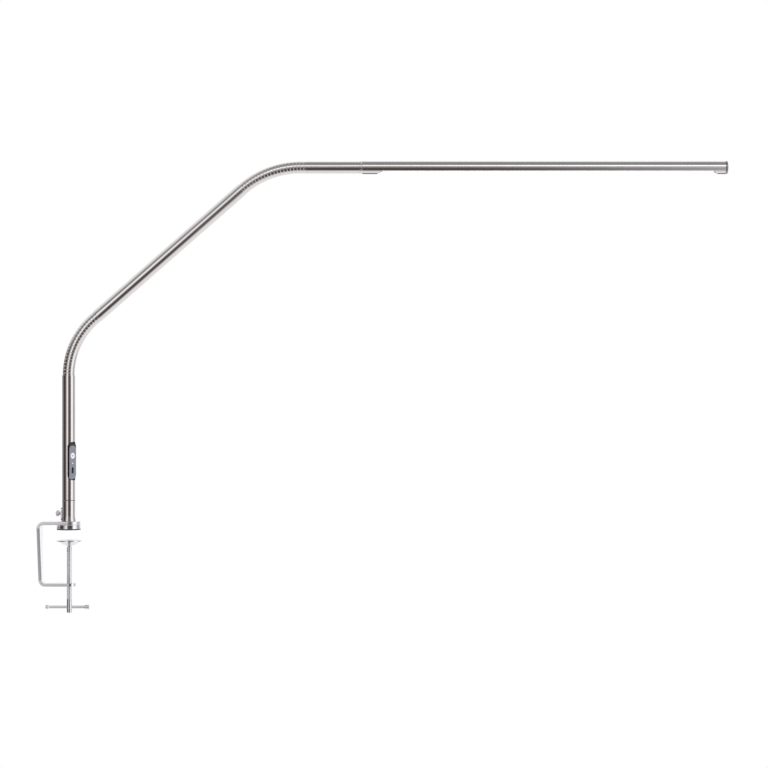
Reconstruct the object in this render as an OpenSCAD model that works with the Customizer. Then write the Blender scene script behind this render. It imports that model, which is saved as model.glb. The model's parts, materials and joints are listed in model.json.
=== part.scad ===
// Desk lamp: a screw clamp, a swivelling pole, two goosenecks and a slim LED light bar.
// Origin: centre of the upper jaw pad's underside, the face that rests on the desk.
// +Z is up, +X points along the arm towards the tip of the bar, -Y is the front.

/* [Clamp] */
// Radius of the round upper jaw
jaw_r = 18.4; // [16:0.2:20]
// Thickness of the rubber jaw pad
jaw_pad_t = 1.5; // [1:0.1:2]
// Thickness of the chromed jaw disc
jaw_disc_t = 6.5; // [5:0.5:8]
// Thickness of the flat bar the bracket is bent from
bar_t = 5; // [4:0.5:6]
// Inside height of the bracket, between its two arms
throat_h = 89.3; // [80:1:110]
// Distance from the pole's axis to the back of the bracket
bracket_back = 46.6; // [42:0.2:52]
// Outside radius of the bracket's two bends
bend_r = 10; // [8:0.5:12]
// Width of the lower arm of the bracket
lower_arm_w = 20; // [18:1:26]
// Radius of the clamp screw
screw_r = 4; // [3.5:0.5:5]
// Height of the clamp pad's rim below the jaw pad
desk_gap = 16; // [10:1:40]
// Radius of the dished clamp pad
pad_r = 19.4; // [16:0.2:22]
// Length of the clamp screw
screw_len = 101.8; // [95:0.2:130]

/* [Pole] */
// Radius of the pole and of the light bar
tube_r = 10; // [9.5:0.5:11]
// Height where the pole leaves its socket
socket_top = 44.6; // [42:0.2:52]
// Height of the top of the pole
pole_top = 235.4; // [200:0.2:300]
// Turn of the control panel about the pole, from +X towards the front
panel_turn = 35; // [0:5:90]
// Height of the control panel's lower end
panel_z = 75.7; // [70:0.1:100]

/* [Arm] */
// Angle of the middle tube from upright
arm_tilt = 48.8; // [30:0.1:60]
// Radius of the lower gooseneck's bend at rest
lower_bend_r = 115; // [100:1:140]
// Straight end of the lower gooseneck
lower_tail = 6; // [2:0.5:10]
// Length of the middle tube
middle_len = 293; // [200:1:400]
// Radius of the middle tube
middle_r = 9.8; // [9.5:0.1:10]
// Radius of the upper gooseneck's bend at rest
upper_bend_r = 136; // [120:1:160]
// Straight end of the upper gooseneck
upper_tail = 7.8; // [2:0.2:12]
// Length of the neck tube
neck_len = 82.9; // [60:0.1:120]
// Radius of the neck tube
neck_r = 9.4; // [9.2:0.1:10]

/* [Light bar] */
// Length of the bar without its end cap
bar_len = 553.3; // [400:0.1:700]
// Length of the lit window
window_len = 505.6; // [350:0.1:640]
// Depth of the bar's flat underside below its axis
window_drop = 5.5; // [5:0.1:6]
// How far the diffuser stands below the flat underside
diffuser_out = 1.9; // [1:0.1:2.4]
// Number of light-emitting diodes
led_count = 40; // [10:1:60]

/* [Hidden] */
$fn = 96;

steel = [0.76, 0.75, 0.74];
satin = [0.72, 0.72, 0.74];
chrome = [0.85, 0.85, 0.87];
black = [0.08, 0.08, 0.09];
grey = [0.6, 0.61, 0.66];
white = [0.94, 0.94, 0.92];
board_green = [0.12, 0.35, 0.2];

fit = 0.05;              // radial clearance of every running fit
far = 200;               // longer than any piece that it trims
slip = 0.1;              // end clearance between stacked pieces

// clamp heights and places
arm_bottom = jaw_pad_t + jaw_disc_t;
arm_top = arm_bottom + bar_t;
low_arm_top = arm_bottom - throat_h;
low_arm_bottom = low_arm_top - bar_t;
leg_lean = 1.7;          // the leg's lower end stands this much nearer the pole
leg_top = arm_top - bend_r;
leg_bottom = low_arm_bottom + bend_r;
screw_x = 1;
pad_t = 1.5;
pad_depth = 7.3;
pad_floor_r = 9;
ball_z = -desk_gap - 6;
ball_stud_r = 3;
stud_stem_r = 1.8;
ferrule_r = 4.6;
ferrule_h = 5.4;
ferrule_below = 2.4;     // how far the ferrule reaches below the ball's centre
ferrule_lip = 1.2;       // its flange over the pad's floor
ferrule_mouth = 1.1;
screw_top = -desk_gap - pad_depth - 1.9;
stem_hole_h = 12;
tommy_z = screw_top - screw_len + 9;
tommy_r = 2.5;
tommy_head_r = 3.65;
tommy_left = -36.2;
tommy_right = 30.6;
tommy_head_len = 5;
tommy_cap_len = 7.7;

// pole socket and lock
socket_bore_r = 8.2;
socket_floor = 21;
flare_h = 8;
flare = 1;
screw_hole_r = 3;
lock_z = 25.2;
lock_r = 2.5;
lock_face = 11.6;
lock_plate_w = 9;
lock_plate_h = 20;
knob_face = 13.8;
knob_len = 5.4;
knob_r = 4.5;
pin_r = 7;
pin_groove_r = 6.2;
washer_t = 0.8;
pole_bottom = socket_top + washer_t;
tube_wall = 1.2;
pole_bore_r = tube_r - tube_wall;

// control panel, in a frame whose +X is the panel's outward normal
panel_w = 17;
panel_h = 58.5;
panel_corner = 7;
panel_back = 1.3;
panel_shoulder = 6.4;
panel_face = 8.1;
panel_step = 1.0;        // how far the raised face stands in from the shoulder
panel_seam = 5.2;        // distance from the pole's axis where the housing meets the tube's wall
panel_slope_z = panel_z + 7.5;   // below this the raised face slopes back to the shoulder
panel_slope = 0.2;
plate_t = 0.8;
plate_w = 14.4;
plate_corner = 5.6;
plate_low = panel_z + 1.3;
plate_high = panel_z + 52.7;
panel_wall = 2.7;
button_z = panel_z + 37.3;
button_r = 4.5;
lens_z = panel_z + 25.8;
lens_r = 0.9;
inlet_z = panel_z + 15.1;
inlet_h = 9;
inlet_w = 3.3;
inlet_gap = 0.4;         // between the inlet's shell and the face plate
board_back = -0.5;
board_t = 1.2;
board_face = board_back + board_t;
board_w = 13;
board_low = panel_z + 2.6;
board_high = panel_z + 56.1;
boss_low = panel_z + 5.3;
boss_high = panel_z + 53.4;
boss_r = 3;
boss_depth = 4.6;         // end of a board screw's hole, from the pole's axis
board_screw_r = 0.85;
switch_h = 3.5;
switch_w = 6;
plunger_r = 1.7;
plunger_low = 3.3;
plunger_high = 5.1;
cap_back = 6.5;          // back of the button cap, from the pole's axis
cap_flange = 0.8;

// gooseneck links: a ball in a cup, one pitch apart
link_r = 9.2;
ball_r = 7.2;
cup_r = 7.5;
link_neck_r = 3.6;
link_bore_r = 2.5;
flare_low = 6.6;
flare_high = 10.5;
mouth_r = 8.3;
mouth_h = 3.4;

// the arm's path: each gooseneck turns by three equal steps, which touch its arc
lower_pitch = lower_bend_r * tan(arm_tilt / 6);
upper_turn = 90 - arm_tilt;
upper_pitch = upper_bend_r * tan(upper_turn / 6);
middle_x = lower_bend_r * (1 - cos(arm_tilt)) + lower_tail * sin(arm_tilt);
middle_z = pole_top + lower_bend_r * sin(arm_tilt) + lower_tail * cos(arm_tilt);
upper_x = middle_x + middle_len * sin(arm_tilt);
upper_z = middle_z + middle_len * cos(arm_tilt);
neck_x = upper_x + upper_bend_r * cos(arm_tilt) + upper_tail;
neck_z = upper_z + upper_bend_r * (1 - sin(arm_tilt));
plug_len = 14;
middle_bore_r = middle_r - 1;
neck_bore_r = neck_r - 1;

// swivel between the neck and the bar, and the bar itself, along X from neck_x
ring_t = 1.7;
ring_gap = 0.4;
ring_r = 9.9;
bar_x = neck_len + 2 * ring_t + ring_gap;
bar_bore_r = tube_r - 0.8;
spigot_r = 6;
spigot_len = 30.3;
bush_len = 23.5;
clip_t = 0.9;
clip_r = 7.8;
window_x = bar_x + 29.6;
ramp_low = 7.6;
ramp_high = 6.6;
diffuser_w = 14.4;
diffuser_top = -3.6;
led_board_w = 11.6;
led_board_top = -2.4;
led_board_t = 1;
led_w = 2.8;
led_l = 3.5;
led_t = 0.7;
carrier_w = 17.2;
carrier_t = 1.5;
carrier_end = 6;
cap_t = 3.6;
cap_edge = 0.8;

// a tube along +Z from z0 to z1
module tube(r_out, r_in, z0, z1) {
    translate([0, 0, z0])
        difference() {
            cylinder(r = r_out, h = z1 - z0);
            translate([0, 0, -1]) cylinder(r = r_in, h = z1 - z0 + 2);
        }
}

// a rod along +Z from z0 to z1
module rod(r, z0, z1) {
    translate([0, 0, z0]) cylinder(r = r, h = z1 - z0);
}

// a flat outline with round corners, centred on Y, from z = 0 upwards, extruded along +X
module rounded_slab(w, h, corner, x0, x1) {
    translate([x0, 0, 0])
        rotate([90, 0, 90])
            linear_extrude(height = x1 - x0) {
                translate([-w / 2 + corner, 0]) square([w - 2 * corner, h]);
                translate([-w / 2, corner]) square([w, h - 2 * corner]);
                for (side = [-1, 1], y = [corner, h - corner])
                    translate([side * (w / 2 - corner), y]) circle(r = corner);
            }
}

// carries what is drawn upright to a place on the arm, leaning by tilt
module on_arm(x, z, tilt) {
    translate([x, 0, z]) rotate([0, tilt, 0]) children();
}

// carries what is drawn about the panel to its side of the pole
module on_panel() {
    rotate([0, 0, -panel_turn]) children();
}

// carries what is drawn along +Z to the neck's axis, where +X of the drawing points down
module on_bar() {
    on_arm(neck_x, neck_z, 90) children();
}

// ---- clamp ----

// the bracket's outside as a full block, w wide, or its throat when inset by the bar's thickness
module bracket_block(inset, w) {
    r = bend_r - inset;
    x_top = -bracket_back + bend_r;
    x_low = x_top + leg_lean;
    x_mouth = jaw_r + inset;
    rotate([90, 0, 0])
        translate([0, 0, -w / 2]) {
            translate([x_top, leg_top, 0]) cylinder(r = r, h = w);
            translate([x_low, leg_bottom, 0]) cylinder(r = r, h = w);
            linear_extrude(height = w)
                polygon([
                    [x_top, leg_top + r], [x_mouth, leg_top + r], [x_mouth, leg_bottom - r],
                    [x_low, leg_bottom - r], [x_low - r, leg_bottom], [x_top - r, leg_top]
                ]);
        }
}

// what lies beyond the round end of an arm, from z0 upwards
module beyond_round_end(r, x, z0) {
    difference() {
        translate([x, -far / 2, z0]) cube([far, far, throat_h / 2]);
        translate([x, 0, z0 - 1]) cylinder(r = r, h = throat_h / 2 + 2);
    }
}

module clamp_bracket() {
    color(satin)
        difference() {
            intersection() {
                difference() {
                    bracket_block(0, far);
                    bracket_block(bar_t, far + 2);
                }
                translate([far / 2, 0, 0])
                    rotate([0, -90, 0])
                        linear_extrude(height = far)
                            polygon([
                                [arm_top + 1, -jaw_r], [leg_top, -jaw_r],
                                [leg_bottom, -lower_arm_w / 2], [low_arm_bottom - 1, -lower_arm_w / 2],
                                [low_arm_bottom - 1, lower_arm_w / 2], [leg_bottom, lower_arm_w / 2],
                                [leg_top, jaw_r], [arm_top + 1, jaw_r]
                            ]);
            }
            beyond_round_end(jaw_r, 0, 0);
            beyond_round_end(lower_arm_w / 2, screw_x, low_arm_bottom - 1);
            rod(screw_hole_r + fit, arm_bottom - 1, arm_top + 1);
            translate([screw_x, 0, 0]) rod(screw_r + fit, low_arm_bottom - 1, low_arm_top + 1);
        }
}

module jaw_disc() {
    color(chrome)
        difference() {
            rod(jaw_r, jaw_pad_t, arm_bottom);
            rod(screw_hole_r + fit, 0, arm_top);
            rod(6, 0, jaw_pad_t + 3.2);
        }
}

module jaw_pad() {
    color(black) rod(jaw_r - 0.2, 0, jaw_pad_t);
}

// cap screw from under the jaw disc up into the floor of the socket
module socket_screw() {
    color(steel)
        difference() {
            union() {
                rod(screw_hole_r, jaw_pad_t + 1, socket_floor - 1);
                rod(5.5, jaw_pad_t + slip, jaw_pad_t + 3.1);
            }
            translate([0, 0, jaw_pad_t]) cylinder(r = 2.3, h = 2, $fn = 6);
        }
}

module pole_socket() {
    color(steel)
        difference() {
            union() {
                rod(tube_r, arm_top, socket_top);
                translate([0, 0, arm_top]) cylinder(r1 = tube_r + flare, r2 = tube_r, h = flare_h);
            }
            rod(socket_bore_r, socket_floor, socket_top + 1);
            rod(screw_hole_r + fit, arm_top - 1, socket_floor + 1);
            lock_hole();
        }
}

module lock_hole() {
    translate([-far, 0, lock_z]) rotate([0, 90, 0]) cylinder(r = lock_r, h = far);
}

// threaded plate on the back of the socket that carries the thumbscrew
module lock_plate() {
    color(steel)
        difference() {
            translate([0, 0, lock_z - lock_plate_h / 2 - 1])
                mirror([1, 0, 0])
                    rounded_slab(lock_plate_w, lock_plate_h, lock_plate_w / 2 - 0.5, tube_r - 2, lock_face);
            rod(tube_r + fit, arm_top - 1, socket_top);
            translate([0, 0, arm_top]) cylinder(r1 = tube_r + flare + fit, r2 = tube_r + fit, h = flare_h);
            lock_hole();
        }
}

module socket_bush() {
    color(white)
        difference() {
            tube(socket_bore_r - fit, pin_r + fit, socket_floor + slip, socket_top - slip);
            lock_hole();
        }
}

module swivel_washer() {
    color(black) tube(tube_r - 0.1, pin_r + fit, socket_top, pole_bottom);
}

// soft tip that presses on the pole's pin, held in the hollow end of the thumbscrew
module thumbscrew_tip() {
    color(white)
        translate([0, 0, lock_z])
            rotate([0, -90, 0]) {
                rod(lock_r - 0.2, pin_groove_r + fit, 8);
                rod(1.2, 7.9, 12);
            }
}

module thumbscrew() {
    color(steel)
        translate([0, 0, lock_z])
            rotate([0, -90, 0])
                difference() {
                    union() {
                        rod(lock_r - fit, 8 + fit, knob_face + 1);
                        rod(knob_r, knob_face, knob_face + knob_len);
                    }
                    rod(1.2 + fit, 7, 12.3);
                }
}

// ball stud that joins the clamp pad to the screw
module screw_ball() {
    color(steel)
        translate([screw_x, 0, 0]) {
            translate([0, 0, ball_z]) sphere(r = ball_stud_r);
            rod(stud_stem_r, screw_top - stem_hole_h + 1, ball_z - 1);
        }
}

module clamp_screw() {
    color(steel)
        translate([screw_x, 0, 0])
            difference() {
                union() {
                    rod(screw_r, screw_top - screw_len, screw_top - 1.5);
                    translate([0, 0, screw_top - 1.6]) cylinder(r1 = screw_r, r2 = screw_r - 1.6, h = 1.6);
                }
                rod(stud_stem_r + fit, screw_top - stem_hole_h, screw_top + 1);
                tommy_rod(tommy_r + fit, -far, far);
            }
}

// a rod on the tommy bar's axis, along +X
module tommy_rod(r, x0, x1) {
    translate([x0, 0, tommy_z]) rotate([0, 90, 0]) cylinder(r = r, h = x1 - x0);
}

module tommy_bar() {
    color(satin)
        translate([screw_x, 0, 0]) {
            tommy_rod(tommy_r, tommy_left + 1, tommy_right - 2);
            tommy_rod(tommy_head_r, tommy_left, tommy_left + tommy_head_len);
        }
}

module tommy_bar_cap() {
    color(satin)
        translate([screw_x, 0, 0])
            difference() {
                tommy_rod(tommy_head_r, tommy_right - tommy_cap_len, tommy_right);
                tommy_rod(tommy_r + fit, tommy_right - far, tommy_right - 2 + slip);
            }
}

// dished steel pad: a flat rim, a sloping side and a flat floor
module clamp_pad() {
    color(satin)
        translate([screw_x, 0, -desk_gap])
            rotate_extrude()
                polygon([
                    [ferrule_r + fit, -pad_depth], [pad_floor_r, -pad_depth],
                    [pad_r - 1, -1.2], [pad_r, -1.2], [pad_r, 0], [pad_r - 2.2, 0],
                    [pad_floor_r - 0.6, -pad_depth + pad_t], [ferrule_r + fit, -pad_depth + pad_t]
                ]);
}

// hollow rivet in the middle of the pad that grips the ball
module pad_ferrule() {
    flange = slip + ferrule_mouth + pad_t - ferrule_below;
    color(steel)
        translate([screw_x, 0, ball_z])
            difference() {
                union() {
                    rod(ferrule_r, -ferrule_below, ferrule_h - ferrule_below);
                    rod(ferrule_r + ferrule_lip, flange, flange + 1);
                }
                sphere(r = ball_stud_r + fit);
                translate([0, 0, -ferrule_below - slip])
                    cylinder(r1 = stud_stem_r + ferrule_mouth, r2 = stud_stem_r + 0.3, h = ferrule_lip);
            }
}

// ---- pole ----

module pole_tube() {
    color(steel)
        difference() {
            tube(tube_r, pole_bore_r, pole_bottom, pole_top);
            on_panel()
                translate([0, 0, panel_z - fit])
                    rounded_slab(panel_w + 2 * fit, panel_h + 2 * fit, panel_corner, 0, far);
        }
}

// turned spigot that stands in the socket, with a groove for the thumbscrew
module pole_pin() {
    color(steel)
        difference() {
            union() {
                rod(pin_r, socket_floor + 0.6, pole_bottom + 1);
                rod(pole_bore_r - fit, pole_bottom, pole_bottom + 20);
            }
            tube(pin_r + 1, pin_groove_r, lock_z - 2.8, lock_z + 2.8);
        }
}

// the space between two distances from the pole's axis, which slopes inwards at the panel's lower end
module face_layer(x0, x1) {
    drop = panel_slope * (panel_slope_z - panel_z);
    translate([0, far / 2, 0])
        rotate([90, 0, 0])
            linear_extrude(height = far)
                polygon([[x0, panel_z + panel_h], [x0, panel_slope_z], [x0 - drop, panel_z],
                    [x1 - drop, panel_z], [x1, panel_slope_z], [x1, panel_z + panel_h]]);
}

module panel_housing() {
    inner_w = panel_w - 2 * panel_wall;
    color(black)
        on_panel()
            difference() {
                union() {
                    translate([0, 0, panel_z])
                        rounded_slab(panel_w, panel_h, panel_corner, panel_back, panel_shoulder);
                    intersection() {
                        translate([0, 0, panel_z + panel_step])
                            rounded_slab(panel_w - 2 * panel_step, panel_h - 2 * panel_step,
                                panel_corner - panel_step, panel_shoulder - 2, panel_face + 1);
                        face_layer(panel_shoulder - 2, panel_face);
                    }
                }
                // outside the tube's bore the housing is as wide as the window, inside it follows the bore
                difference() {
                    translate([0, -far / 2, panel_z - 1]) cube([panel_seam, far, panel_h + 2]);
                    rod(pole_bore_r - 3 * fit, panel_z - 2, panel_z + panel_h + 2);
                }
                // hollow for the board's parts, between the two screw bosses
                translate([panel_back - 1, -inner_w / 2, boss_low + boss_r])
                    cube([panel_face, inner_w, boss_high - boss_low - 2 * boss_r]);
                for (z = [boss_low, boss_high]) along_normal(board_screw_r + fit, z, 0, boss_depth);
                // seat of the face plate
                intersection() {
                    translate([0, 0, plate_low - slip])
                        rounded_slab(plate_w + 2 * slip, plate_high - plate_low + 2 * slip,
                            plate_corner + slip, panel_shoulder - 2, panel_face + 1);
                    face_layer(panel_face - plate_t, panel_face + 1);
                }
            }
}

module panel_plate() {
    color(grey)
        on_panel()
            difference() {
                intersection() {
                    translate([0, 0, plate_low])
                        rounded_slab(plate_w, plate_high - plate_low, plate_corner,
                            panel_shoulder - 2, panel_face + 1);
                    face_layer(panel_face - plate_t + fit, panel_face);
                }
                along_normal(button_r + 0.1, button_z, 0, far);
                along_normal(lens_r + fit, lens_z, 0, far);
                inlet_outline(inlet_gap, 0, far);
            }
}

// a rod along the panel's normal
module along_normal(r, z, x0, x1) {
    translate([x0, 0, z]) rotate([0, 90, 0]) cylinder(r = r, h = x1 - x0);
}

module inlet_outline(grow, x0, x1) {
    w = inlet_w + 2 * grow;
    h = inlet_h + 2 * grow;
    translate([0, 0, inlet_z - h / 2]) rounded_slab(w, h, w / 2 - 0.01, x0, x1);
}

module indicator_lens() {
    color(white) on_panel() along_normal(lens_r, lens_z, board_face + 1, panel_face + 0.1);
}

module inlet_shell() {
    color(steel)
        on_panel()
            difference() {
                inlet_outline(0, board_face + fit, panel_face - 0.1);
                inlet_outline(-0.35, board_face, panel_face);
            }
}

module inlet_tongue() {
    color(black)
        on_panel() {
            inlet_outline(-0.4, board_face + fit, board_face + 1.4);
            translate([board_face + 1, -0.35, inlet_z - 3.3]) cube([5.2, 0.7, 6.6]);
        }
}

module control_board() {
    color(board_green)
        on_panel()
            difference() {
                translate([board_back, -board_w / 2, board_low])
                    cube([board_t, board_w, board_high - board_low]);
                for (z = [boss_low, boss_high]) along_normal(1.1, z, board_back - 1, far);
            }
}

// coil, driver chip, capacitor and indicator diode, soldered to the board
module board_parts() {
    color(black)
        on_panel()
            translate([board_face, 0, 0]) {
                translate([0, -2.5, board_high - 12.5]) cube([2.8, 5, 5]);
                translate([0, -5.2, inlet_z + 6]) cube([1, 3.4, 3.4]);
                translate([0, 2.6, inlet_z + 6]) cube([1.4, 2.4, 3]);
                translate([0, -0.5, lens_z - 0.8]) cube([0.8, 1, 1.6]);
            }
}

module tactile_switch() {
    color(black)
        on_panel()
            difference() {
                translate([board_face, -switch_w / 2, button_z - switch_w / 2])
                    cube([switch_h, switch_w, switch_w]);
                along_normal(plunger_r + slip, button_z, plunger_low - 1, far);
            }
}

module board_screws() {
    color(steel)
        on_panel()
            for (z = [boss_low, boss_high]) {
                along_normal(board_screw_r, z, board_back - 1, board_face + 3.4);
                along_normal(1.9, z, board_back - 1.4, board_back - fit);
            }
}

module lower_adaptor() {
    color(steel)
        difference() {
            union() {
                rod(pole_bore_r - fit, pole_top - plug_len, pole_top);
                translate([0, 0, pole_top]) cup_body(0, lower_pitch);
            }
            cup_space(pole_top + lower_pitch, pole_top - plug_len);
        }
}

// two wires that run up a tube
module wires(r, side, x, z0, z1) {
    color("firebrick") translate([x, side, 0]) rod(r, z0, z1);
    color("white") translate([x, -side, 0]) rod(r, z0, z1);
}

module pole_wires() {
    on_panel() wires(0.9, 1.1, 0, board_high + slip, pole_top + 4);
}

module button_cap() {
    color(white)
        on_panel()
            difference() {
                union() {
                    along_normal(button_r, button_z, cap_back, panel_face + 0.6);
                    along_normal(button_r + cap_flange, button_z, cap_back, cap_back + 0.7);
                    along_normal(2, button_z, plunger_high, cap_back + slip);
                }
                along_normal(1.3, button_z, panel_face - 0.2, far);
            }
}

module button_inlay() {
    color(grey) on_panel() along_normal(1.25, button_z, panel_face - 0.2, panel_face + 0.4);
}

module switch_plunger() {
    color(black) on_panel() along_normal(plunger_r, button_z, plunger_low, plunger_high);
}

// ---- goosenecks ----

// outside of a cup whose ball centre is at z1, standing on a flat end at z0
module cup_body(z0, z1) {
    rotate_extrude()
        polygon([
            [0, z0], [link_r, z0], [link_r, z1 - 1],
            [mouth_r, z1 + mouth_h], [0, z1 + mouth_h]
        ]);
}

// the hollow of a cup, and the wire bore below it
module cup_space(z, z0) {
    translate([0, 0, z]) sphere(r = cup_r);
    rod(link_bore_r, z0 - 1, z);
}

// a ball on its neck, flaring out to the link's full radius
module ball_end(z1) {
    sphere(r = ball_r);
    rotate_extrude()
        polygon([
            [0, 0], [link_neck_r, 0], [link_neck_r, flare_low],
            [link_r, flare_high], [link_r, z1], [0, z1]
        ]);
}

// one link: its ball's centre is at the origin, its cup's ball centre one pitch up
module link(pitch) {
    color(steel)
        difference() {
            union() {
                ball_end(pitch - 2);
                cup_body(pitch - 2.5, pitch);
            }
            cup_space(pitch, -ball_r);
        }
}

// the place of joint k of a gooseneck, 1 to 5: joints 1, 3 and 5 turn in the arm's plane
function joint_tilt(k, turn) = ceil(k / 2) * turn / 3;
function joint_x(k, pitch, start, turn) =
    k == 0 ? 0 : joint_x(k - 1, pitch, start, turn) + pitch * sin(start + joint_tilt(k - 1, turn));
function joint_z(k, pitch, start, turn) =
    k == 0 ? 0 : joint_z(k - 1, pitch, start, turn) + pitch * cos(start + joint_tilt(k - 1, turn));

module lower_link(k) {
    on_arm(joint_x(k, lower_pitch, 0, arm_tilt), pole_top + joint_z(k, lower_pitch, 0, arm_tilt),
        joint_tilt(k, arm_tilt))
        link(lower_pitch);
}

module upper_link(k) {
    on_arm(upper_x + joint_x(k, upper_pitch, arm_tilt, upper_turn),
        upper_z + joint_z(k, upper_pitch, arm_tilt, upper_turn),
        arm_tilt + joint_tilt(k, upper_turn))
        link(upper_pitch);
}

module lower_link_1() { lower_link(1); }
module lower_link_2() { lower_link(2); }
module lower_link_3() { lower_link(3); }
module lower_link_4() { lower_link(4); }
module upper_link_1() { upper_link(1); }
module upper_link_2() { upper_link(2); }
module upper_link_3() { upper_link(3); }
module upper_link_4() { upper_link(4); }

// a ball at one pitch before a gooseneck's end, and a plug for the tube that follows
module ball_adaptor(pitch, tail, plug_r) {
    color(steel)
        translate([0, 0, -pitch - tail])
            difference() {
                union() {
                    ball_end(pitch + tail);
                    rod(plug_r, pitch + tail, pitch + tail + plug_len);
                }
                rod(link_bore_r, -ball_r - 1, pitch + tail + plug_len + 1);
            }
}

// ---- middle arm ----

module middle_tube() {
    color(steel) on_arm(middle_x, middle_z, arm_tilt) tube(middle_r, middle_bore_r, 0, middle_len);
}

module arm_adaptor_lower() {
    on_arm(middle_x, middle_z, arm_tilt) ball_adaptor(lower_pitch, lower_tail, middle_bore_r - fit);
}

module arm_adaptor_upper() {
    color(steel)
        on_arm(upper_x, upper_z, arm_tilt)
            difference() {
                union() {
                    rod(middle_bore_r - fit, -plug_len, 0);
                    cup_body(0, upper_pitch);
                }
                cup_space(upper_pitch, -plug_len);
            }
}

module arm_wires() {
    on_arm(middle_x, middle_z, arm_tilt) wires(0.9, 1.1, 0, -8, middle_len + 4);
}

// ---- neck ----

module neck_tube() {
    color(steel) on_bar() tube(neck_r, neck_bore_r, 0, neck_len);
}

module neck_adaptor() {
    on_bar() ball_adaptor(upper_pitch, upper_tail, neck_bore_r - fit);
}

module swivel_bush() {
    color(white) on_bar() tube(neck_bore_r - fit, spigot_r + fit, neck_len - bush_len, neck_len);
}

module neck_ring() {
    color(chrome) on_bar() tube(ring_r, spigot_r + fit, neck_len, neck_len + ring_t);
}

// ---- light bar ----

module head_ring() {
    color(chrome) on_bar() tube(ring_r, spigot_r + fit, bar_x - ring_t, bar_x);
}

module head_spigot() {
    groove = bar_x - spigot_len + 1.5;
    color(steel)
        on_bar()
            difference() {
                union() {
                    rod(spigot_r, bar_x - spigot_len, bar_x + 1);
                    rod(bar_bore_r - fit, bar_x + 0.4, bar_x + 20);
                }
                tube(spigot_r + 1, spigot_r - 0.8, groove, groove + clip_t + slip);
                rod(link_bore_r, bar_x - spigot_len - 1, bar_x + 21);
            }
}

module spigot_clip() {
    groove = bar_x - spigot_len + 1.5;
    color(steel)
        on_bar()
            difference() {
                tube(clip_r, spigot_r - 0.75, groove + fit, groove + fit + clip_t);
                translate([0, -2, groove - 1]) cube([far, 4, clip_t + 3]);
            }
}

// what is cut from under the bar: the lit window with a sloping step at each end
module window_cut() {
    rotate([90, 0, 0])
        translate([0, 0, -far / 2])
            linear_extrude(height = far)
                polygon([
                    [tube_r + 1, window_x - ramp_low - 1.7], [window_drop, window_x],
                    [window_drop, window_x + window_len],
                    [tube_r + 1, window_x + window_len + ramp_high + 1.9]
                ]);
}

module head_tube() {
    color(steel)
        on_bar()
            difference() {
                tube(tube_r, bar_bore_r, bar_x, bar_x + bar_len);
                window_cut();
            }
}

// a box in the bar: along from z0 to z1, w wide, from low to high above the axis
module bar_box(w, low, high, z0, z1) {
    translate([-high, -w / 2, z0]) cube([high - low, w, z1 - z0]);
}

// aluminium channel that holds the board and takes its heat to the tube
module led_carrier() {
    z0 = window_x - carrier_end;
    z1 = window_x + window_len + carrier_end;
    color("silver")
        on_bar()
            difference() {
                union() {
                    bar_box(carrier_w, led_board_top, led_board_top + carrier_t, z0, z1);
                    for (side = [-1, 1])
                        translate([0, side * 5, 0]) bar_box(1.2, led_board_top + 1, 7, z0, z1);
                }
                carrier_holes(0.9);
            }
}

function carrier_hole_z(i) = window_x + window_len * (i + 0.5) / 4;

module carrier_holes(r) {
    for (i = [0:3])
        translate([0, 4.4, carrier_hole_z(i)])
            rotate([0, 90, 0])
                translate([0, 0, -5])
                    cylinder(r = r, h = 10);
}

module led_board() {
    color(white)
        on_bar()
            difference() {
                bar_box(led_board_w, led_board_top - led_board_t, led_board_top - 0.02,
                    window_x + 2, window_x + window_len - 2);
                carrier_holes(1);
            }
}

module leds() {
    step = (window_len - 10) / led_count;
    color("khaki")
        on_bar()
            for (i = [0:led_count - 1]) {
                middle = window_x + 5 + step * (i + 0.5);
                bar_box(led_w, led_board_top - led_board_t - led_t, led_board_top - led_board_t,
                    middle - led_l / 2, middle + led_l / 2);
            }
}

// four small screws that hold the board to the carrier
module carrier_screws() {
    color(steel)
        on_bar()
            for (i = [0:3])
                translate([0, 4.4, carrier_hole_z(i)])
                    rotate([0, 90, 0]) {
                        rod(0.85, -0.6 - led_board_top - carrier_t, led_board_t - led_board_top + 0.1);
                        rod(1.3, led_board_t - led_board_top + 0.02, led_board_t - led_board_top + 0.6);
                    }
}

module diffuser() {
    low = -window_drop - diffuser_out;
    z0 = window_x + 0.3;
    z1 = window_x + window_len - 0.3;
    color(white)
        on_bar()
            difference() {
                bar_box(diffuser_w, low, diffuser_top, z0, z1);
                bar_box(diffuser_w - 2.4, low + 1.2, diffuser_top + 1, z0 + 1.2, z1 - 1.2);
            }
}

// the wedge that closes the bar's bore at a step, drawn for the step nearer the neck
module step_wedge(ramp) {
    intersection() {
        rotate([90, 0, 0])
            translate([0, 0, -diffuser_w / 2])
                linear_extrude(height = diffuser_w)
                    polygon([
                        [-diffuser_top, -ramp], [tube_r, -ramp], [tube_r - 0.3, -ramp + 0.6],
                        [window_drop + 0.2, 0.1], [-diffuser_top, 0.1]
                    ]);
        rod(bar_bore_r - fit, -far, far);
    }
}

module diffuser_ends() {
    color(grey)
        on_bar() {
            translate([0, 0, window_x]) step_wedge(ramp_low);
            translate([0, 0, window_x + window_len]) mirror([0, 0, 1]) step_wedge(ramp_high);
        }
}

module head_end_cap() {
    end = bar_x + bar_len;
    color(steel)
        on_bar() {
            rod(bar_bore_r - fit, end - 10, end + 1);
            rod(tube_r, end + slip, end + cap_t - cap_edge);
            translate([0, 0, end + cap_t - cap_edge])
                cylinder(r1 = tube_r, r2 = tube_r - cap_edge, h = cap_edge);
        }
}

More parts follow.
